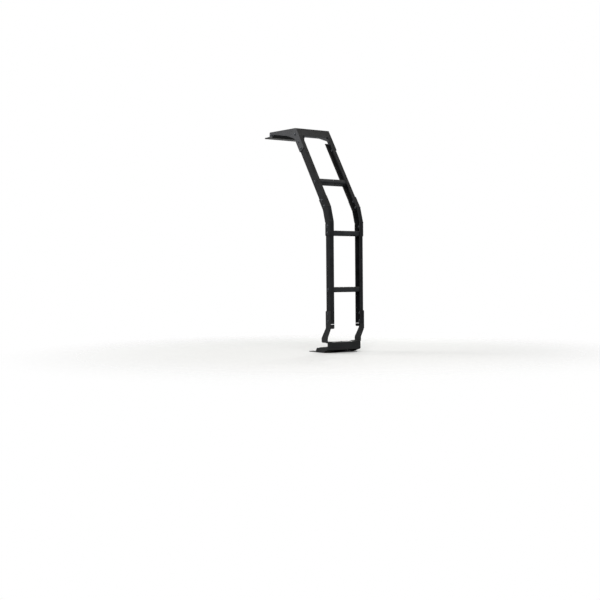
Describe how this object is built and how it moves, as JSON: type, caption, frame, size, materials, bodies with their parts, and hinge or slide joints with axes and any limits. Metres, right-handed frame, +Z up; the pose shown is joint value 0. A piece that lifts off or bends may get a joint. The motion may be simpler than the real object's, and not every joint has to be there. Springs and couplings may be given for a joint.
{
  "type": "vehicle ladder",
  "caption": "Bolt-together folded-sheet ladder for a vehicle's rear door, with a leaning upper half, roof arms and hook plates at top and bottom.",
  "frame": {"origin": "middle of the bearing face on top of the lower hook plate's tongue, midway between its two screw holes", "axes": "+Z up along the lower rails, +Y towards the front of the vehicle, +X across the ladder to the vehicle's right"},
  "size_m": [0.206, 0.598, 1.1428],
  "materials": {
    "powder_coat": "matte black textured powder coat",
    "rung_coat": "matte black textured powder coat with worn tread",
    "bracket_coat": "matte black textured powder coat",
    "zinc_steel": "black zinc plated steel",
    "rubber": "moulded black rubber"
  },
  "bodies": {
    "root": {"left_lower_rail": "powder_coat", "right_lower_rail": "powder_coat", "left_upper_rail": "powder_coat", "right_upper_rail": "powder_coat", "left_elbow_sleeve": "powder_coat", "right_elbow_sleeve": "powder_coat", "lower_rung": "rung_coat", "middle_rung": "rung_coat", "upper_rung": "rung_coat", "left_lower_rung_plug": "zinc_steel", "right_lower_rung_plug": "zinc_steel", "left_middle_rung_plug": "zinc_steel", "right_middle_rung_plug": "zinc_steel", "left_upper_rung_plug": "zinc_steel", "right_upper_rung_plug": "zinc_steel", "left_roof_arm": "powder_coat", "right_roof_arm": "powder_coat", "top_step_plate": "powder_coat", "upper_hook_plate": "bracket_coat", "upper_rubber_strip": "rubber", "left_lower_bracket": "bracket_coat", "right_lower_bracket": "bracket_coat", "bottom_channel": "bracket_coat", "lower_hook_plate": "bracket_coat", "lower_rubber_strip": "rubber"}
  },
  "joints": []
}
